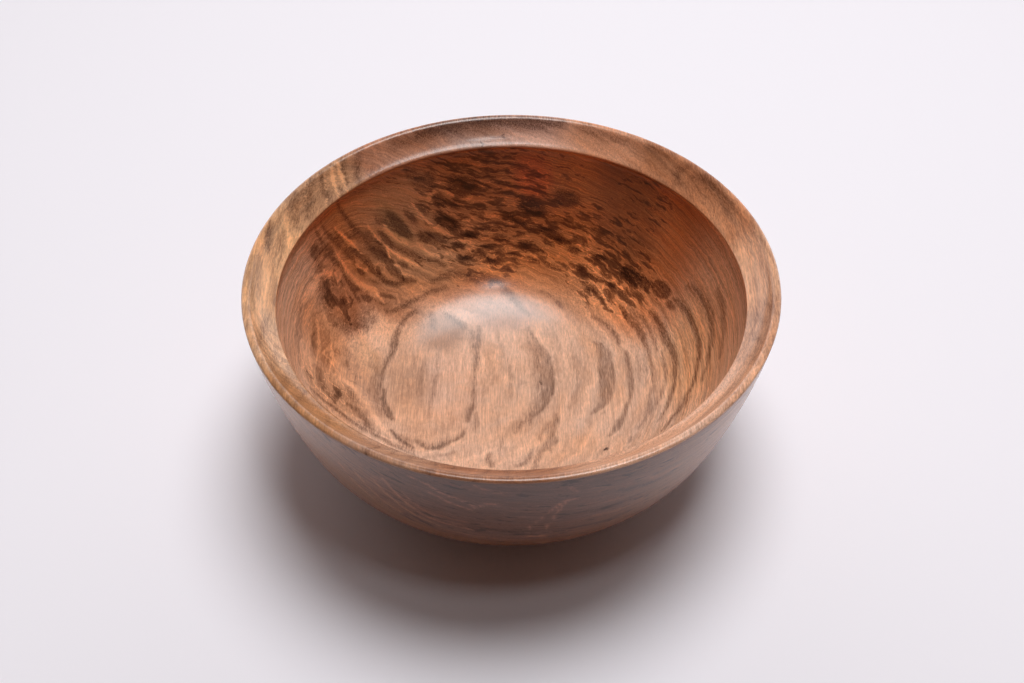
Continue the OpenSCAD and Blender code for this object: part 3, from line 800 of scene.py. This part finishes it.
class Nodes:
    """Short ways to add and link the nodes of one material or world."""

    def __init__(self, material):
        material.use_nodes = True
        self.tree = material.node_tree
        self.shader = self.tree.nodes.get("Principled BSDF")

    def add(self, kind, settings=(), **inputs):
        """Add a node and fill its inputs, each named with _ for a space, or numbered as in i0."""
        node = self.tree.nodes.new("ShaderNode" + kind)
        for name, value in dict(settings).items():
            setattr(node, name, value)
        for name, value in inputs.items():
            key = int(name[1:]) if name[1:].isdigit() else name.replace("_", " ")
            self.set(node.inputs[key], value)
        return node

    def set(self, socket, value):
        if isinstance(value, bpy.types.NodeSocket):
            self.tree.links.new(value, socket)
        else:
            socket.default_value = value

    def math(self, operation, a, b=0.0, c=0.0):
        return self.add("Math", {"operation": operation}, i0=a, i1=b, i2=c).outputs[0]

    def attribute(self, name, output="Fac"):
        return self.add("Attribute", {"attribute_name": name}).outputs[output]

    def stretched(self, position, *scale):
        return self.add("VectorMath", {"operation": "MULTIPLY"}, i0=position, i1=scale).outputs[0]

    def flow(self, x, y, level, along, across):
        """Coordinates in which noise is drawn out along the layers of growth."""
        parts = {"X": (x, along), "Y": (y, along), "Z": (level, across)}
        node = self.add("CombineXYZ")
        for name, (value, size) in parts.items():
            self.set(node.inputs[name], self.math("DIVIDE", value, size))
        return node.outputs[0]

    def noise(self, vector, detail=2.0, rough=0.5):
        """Noise about zero, from -0.5 to 0.5."""
        node = self.add("TexNoise", Vector=vector, Scale=1.0, Detail=detail, Roughness=rough)
        return self.math("SUBTRACT", node.outputs["Fac"], 0.5)

    def ease(self, value, low, high):
        node = self.add("MapRange", {"interpolation_type": "SMOOTHSTEP"}, Value=value)
        for key, number in (("From Min", low), ("From Max", high)):
            self.set(node.inputs[key], number)
        return node.outputs["Result"]

    def sum(self, *terms):
        """The sum of terms, each a socket or a socket with its factor."""
        total = 0.0
        for term in terms:
            value, factor = term if isinstance(term, tuple) else (term, 1.0)
            total = self.math("MULTIPLY_ADD", value, factor, total)
        return total


# How much one step of lightness adds to the wood's red, green and blue, and how far warmth shifts them
LIGHTER_WOOD = (1.3, 1.15, 0.95)
WARMTH = (0.08, -0.25, -0.60)


def wood_material():
    """Figured wood: frayed marks, mottling, growth lines, fibres and pores under a satin finish."""
    material = bpy.data.materials.new("turned_wood")
    n = Nodes(material)
    place = n.stretched(n.add("TexCoord").outputs["Object"], 1 / MM, 1 / MM, 1 / MM)
    x, y, z = n.add("SeparateXYZ", Vector=place).outputs
    level = n.attribute("layer")
    fibre_wide = n.noise(n.stretched(place, 1.25, 0.05, 1.25), 2)
    fibre_fine = n.noise(n.stretched(place, 2.8, 0.22, 2.8), 3, 0.65)
    fray = n.noise(n.stretched(place, 1.7, 0.12, 1.7), 3, 0.7)
    warp = n.noise(n.stretched(place, 0.11, 0.11, 0.11), 2, 0.6)
    lifted = n.math("MULTIPLY_ADD", warp, 4.0, level)

    # Drawn marks, their edges frayed along the fibres
    ramp = n.attribute("mark")
    halo = n.ease(n.sum(ramp, (fray, 0.8)), 0.08, 0.8)
    core = n.ease(n.sum(ramp, (fray, 2.2)), 0.5, 0.95)
    body = n.sum(0.6, (fibre_wide, 1.0), (fibre_fine, 1.6))
    drawn = n.sum((halo, 0.45), n.math("MULTIPLY", core, body))
    mark = n.math("MULTIPLY", drawn, n.attribute("mark_depth"))

    # Mottling: blots that run along the layers of growth, each darker at its heart, and light veins between
    blots = n.noise(n.flow(x, y, lifted, 9.0, 2.3), 3, 0.5)
    share = n.attribute("mottle")
    over = n.sum(blots, (share, 0.41), (fray, 0.09), -0.275)
    mottle = n.sum((n.ease(over, -0.015, 0.02), 0.6), (n.ease(over, 0.04, 0.12), 0.4))
    veins = n.math("ABSOLUTE", n.noise(n.flow(x, y, lifted, 11.0, 2.3), 2, 0.6))
    vein = n.math("MULTIPLY", n.ease(veins, 0.03, 0.0), n.math("MULTIPLY", share, -0.8))

    # Growth lines along the layers, and slow changes of tone
    lines = n.noise(n.flow(x, y, lifted, 30.0, 0.7), 4, 0.75)
    tone = n.noise(n.flow(x, y, lifted, 50.0, 1.9), 2)
    dark = n.sum(
        mark,
        mottle,
        vein,
        (n.math("MULTIPLY", lines, n.attribute("line_depth")), 1.0),
        (tone, 0.8),
        (n.math("MULTIPLY", fibre_wide, n.attribute("fibre_depth")), 1.0),
        (fibre_fine, 1.05),
    )
    wood = n.add("SeparateColor", Color=n.attribute("wood", "Color"))
    kept = n.add("SeparateColor", Color=n.attribute("kept", "Color"))
    warmth = n.noise(n.flow(x, y, lifted, 30.0, 3.2), 2)
    colour = n.add("CombineColor")
    for i, warm in enumerate(WARMTH):
        shade = n.math("POWER", kept.outputs[i], n.math("MAXIMUM", dark, 0.0))
        light = n.sum(shade, (n.math("MAXIMUM", n.math("MULTIPLY", dark, -1.0), 0.0), LIGHTER_WOOD[i]))
        tinted = n.math("MULTIPLY", wood.outputs[i], n.sum(1.0, (warmth, warm)))
        n.set(colour.inputs[i], n.math("MULTIPLY", tinted, light))
    n.set(n.shader.inputs["Base Color"], colour.outputs[0])

    n.set(n.shader.inputs["Roughness"], n.sum(0.38, (fibre_fine, 0.2)))
    n.set(n.shader.inputs["Specular IOR Level"], 0.12)
    n.set(n.shader.inputs["Coat Weight"], 0.7)
    n.set(n.shader.inputs["Coat Roughness"], 0.18)
    bump = n.add("Bump", Strength=0.15, Distance=0.15 * MM, Height=fibre_fine)
    n.set(n.shader.inputs["Normal"], bump.outputs[0])
    return material


# A flat map of the whole surface, for baking. The inside and the rim are one disc, the outside is three
# strips, of which the last stands upright, and the underside is a small disc. Here are the map's scale per
# millimetre, the middles of the discs, and the middle of each strip's upper edge.
MAP_SCALE = 0.00187
INSIDE_SPOT = (0.345, 0.655)
UNDERSIDE_SPOT = (0.82, 0.897)
STRIP_SPOTS = [(0.24, 0.01), (0.73, 0.01), (0.70, 0.56)]
STRIP_TURN = 2 * pi / len(STRIP_SPOTS)


def lay_out(mesh, regions, lengths, angles):
    """Lay out the map for the corners of all faces. A face lies in the last of its corners' regions."""
    corners = np.empty(len(mesh.loops), np.int32)
    mesh.loops.foreach_get("vertex_index", corners)
    starts = np.empty(len(mesh.polygons), np.int32)
    mesh.polygons.foreach_get("loop_start", starts)
    face = np.repeat(np.arange(len(starts)), np.diff(np.append(starts, len(corners))))
    part = np.maximum.reduceat(regions[corners], starts)[face]
    along, turn = lengths[corners] * MAP_SCALE, angles[corners]
    around = np.column_stack((np.cos(turn), np.sin(turn)))
    spots = np.array(INSIDE_SPOT) + around * along[:, None]
    under = np.array(UNDERSIDE_SPOT) + around * (along.max() - along)[:, None]
    spots = np.where((part == UNDERSIDE)[:, None], under, spots)
    middle = np.add.reduceat(around, starts)[face]
    strip = (np.arctan2(middle[:, 1], middle[:, 0]) % (2 * pi) // STRIP_TURN).astype(int)
    across = (turn - (strip + 0.5) * STRIP_TURN + pi) % (2 * pi) - pi
    across = across * UNROLL_R * MAP_SCALE
    down = along - lengths[regions == OUTSIDE].min() * MAP_SCALE
    upright = strip == len(STRIP_SPOTS) - 1
    unrolled = np.where(upright[:, None], np.column_stack((down, across)), np.column_stack((across, down)))
    unrolled += np.array(STRIP_SPOTS)[strip]
    spots = np.where((part == OUTSIDE)[:, None], unrolled, spots)
    mesh.uv_layers.new(name="OFBake").uv.foreach_set("vector", spots.ravel().astype(np.float32))


def set_attribute(mesh, name, values):
    """Keep a number or a colour at each vertex of a mesh, for its material."""
    if values.ndim == 1:
        attribute = mesh.attributes.new(name, "FLOAT", "POINT")
        attribute.data.foreach_set("value", values.astype(np.float32))
    else:
        attribute = mesh.attributes.new(name, "FLOAT_COLOR", "POINT")
        values = np.column_stack((values, np.ones(len(values))))
        attribute.data.foreach_set("color", values.ravel().astype(np.float32))


# Edges that bend more than this stay sharp
SHARP_FROM = radians(50)


def add_bowl():
    """The turned bowl as one smooth mesh, with all that its material needs kept at its vertices."""
    points, faces, regions, lengths, angles = revolve()
    mesh = bpy.data.meshes.new("turned_bowl")
    mesh.from_pydata((points * MM).tolist(), [], faces)
    mesh.validate()
    mesh.polygons.foreach_set("use_smooth", [True] * len(mesh.polygons))
    mesh.set_sharp_from_angle(angle=SHARP_FROM)
    lay_out(mesh, regions, lengths, angles)
    normals = np.empty(len(points) * 3, np.float32)
    mesh.vertices.foreach_get("normal", normals)
    facing = np.abs(normals.reshape(-1, 3)[:, 1])
    marks = draw_marks(points, regions)
    wall = ease(points[:, 2], 16, 34)
    end_grain = ease(facing, 0.3, 0.7)
    attributes = {
        "mark": marks.ramp,
        "mark_depth": marks.depth,
        "layer": layer_level(points),
        "mottle": mottle_share(points, regions, facing),
        "wood": wood_tints(points, regions, facing),
        "kept": mark_tints(points, facing),
        "line_depth": np.where(regions == INSIDE, 0.35 + 1.5 * wall, 0.9),
        "fibre_depth": np.where(regions == RIM, 0.9, 0.75) - 0.5 * end_grain,
    }
    for name, values in attributes.items():
        set_attribute(mesh, name, values)
    bowl = bpy.data.objects.new("turned_bowl", mesh)
    bpy.context.scene.collection.objects.link(bowl)
    return bowl


bowl = add_bowl()
bowl.data.materials.append(wood_material())
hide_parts("bowl")
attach(bowl, "root")

# A plain pale floor, round so that its far edge looks level from every side, in metres
TABLE_R = 1.25
TABLE_SIDES = 128
TABLE_COLOUR = (0.88, 0.87, 0.93)


def add_floor():
    """The floor that the bowl stands on."""
    mesh = bpy.data.meshes.new("floor")
    turns = [2 * pi * i / TABLE_SIDES for i in range(TABLE_SIDES)]
    corners = [(TABLE_R * cos(turn), TABLE_R * sin(turn), 0) for turn in turns]
    mesh.from_pydata(corners, [], [range(TABLE_SIDES)])
    floor = bpy.data.objects.new("floor", mesh)
    bpy.context.scene.collection.objects.link(floor)
    material = bpy.data.materials.new("floor")
    n = Nodes(material)
    n.set(n.shader.inputs["Base Color"], (*TABLE_COLOUR, 1))
    n.set(n.shader.inputs["Roughness"], 0.9)
    n.set(n.shader.inputs["Specular IOR Level"], 0.0)
    mesh.materials.append(material)
    return floor


# Soft studio light: a round softbox high behind the bowl, and a small lamp high in front that gives the far
# rim its sheen. Each lamp holds its place, the point that it is turned to, its size and its power.
SOFTBOX = ((0.35, 0.66, 3.2), (0.05, 0.34, 0.0), 1.95, 17.9)
SHEEN_LAMP = ((0.34, -0.74, 3.2), (0.0, 0.0, 0.05), 0.45, 1.1)
LAMP_SPREAD = radians(75)

# The room: a faint warm light from all round, and a pale sweep that rises behind the bowl. The camera itself
# sees a plain backdrop that fades down to the floor's tone. The pairs of numbers are parts of a ray's
# direction, between which the sweep and the backdrop fade.
SWEEP_AHEAD = (0.3, 0.8)
SWEEP_TOP = (0.75, 0.35)
SWEEP_COLOUR = (1.0, 0.96, 0.97)
SWEEP_STRENGTH = 1.4
BACKDROP_COLOUR = (0.86, 0.84, 0.87)
HORIZON_COLOUR = (0.51, 0.48, 0.50)
BACKDROP_RISE = (-0.13, 0.0)
ROOM_COLOUR = (1.0, 0.60, 0.45)
ROOM_STRENGTH = 0.075


def add_lamp(name, place, target, size, power):
    """A round soft lamp, turned to a point."""
    data = bpy.data.lights.new(name, "AREA")
    data.shape = "DISK"
    data.size = size
    data.energy = power
    data.spread = LAMP_SPREAD
    lamp = bpy.data.objects.new(name, data)
    lamp.location = place
    lamp.rotation_euler = (Vector(target) - lamp.location).to_track_quat("-Z", "Y").to_euler()
    bpy.context.scene.collection.objects.link(lamp)


def add_room():
    """The light from all round, and the backdrop."""
    world = bpy.data.worlds.new("studio")
    n = Nodes(world)
    background = n.tree.nodes["Background"]
    x, y, z = n.add("SeparateXYZ", Vector=n.add("TexCoord").outputs["Generated"]).outputs
    sweep = n.math("MULTIPLY", n.ease(y, *SWEEP_AHEAD), n.ease(z, *SWEEP_TOP))
    colour = n.add("CombineColor")
    for i in range(3):
        swept = (sweep, SWEEP_COLOUR[i] * SWEEP_STRENGTH)
        n.set(colour.inputs[i], n.sum(ROOM_COLOUR[i] * ROOM_STRENGTH, swept))
    seen = n.add("Mix", {"data_type": "RGBA"}, Factor=n.add("LightPath").outputs["Is Camera Ray"])
    n.set(seen.inputs["A"], colour.outputs[0])
    backdrop = n.add("Mix", {"data_type": "RGBA"}, Factor=n.ease(z, *BACKDROP_RISE))
    n.set(backdrop.inputs["A"], (*HORIZON_COLOUR, 1))
    n.set(backdrop.inputs["B"], (*BACKDROP_COLOUR, 1))
    n.set(seen.inputs["B"], backdrop.outputs["Result"])
    n.set(background.inputs["Color"], seen.outputs["Result"])
    n.set(background.inputs["Strength"], 1.0)
    bpy.context.scene.world = world


add_floor()
add_lamp("softbox", *SOFTBOX)
add_lamp("sheen_lamp", *SHEEN_LAMP)
add_room()
bpy.context.scene.view_settings.view_transform = "Standard"
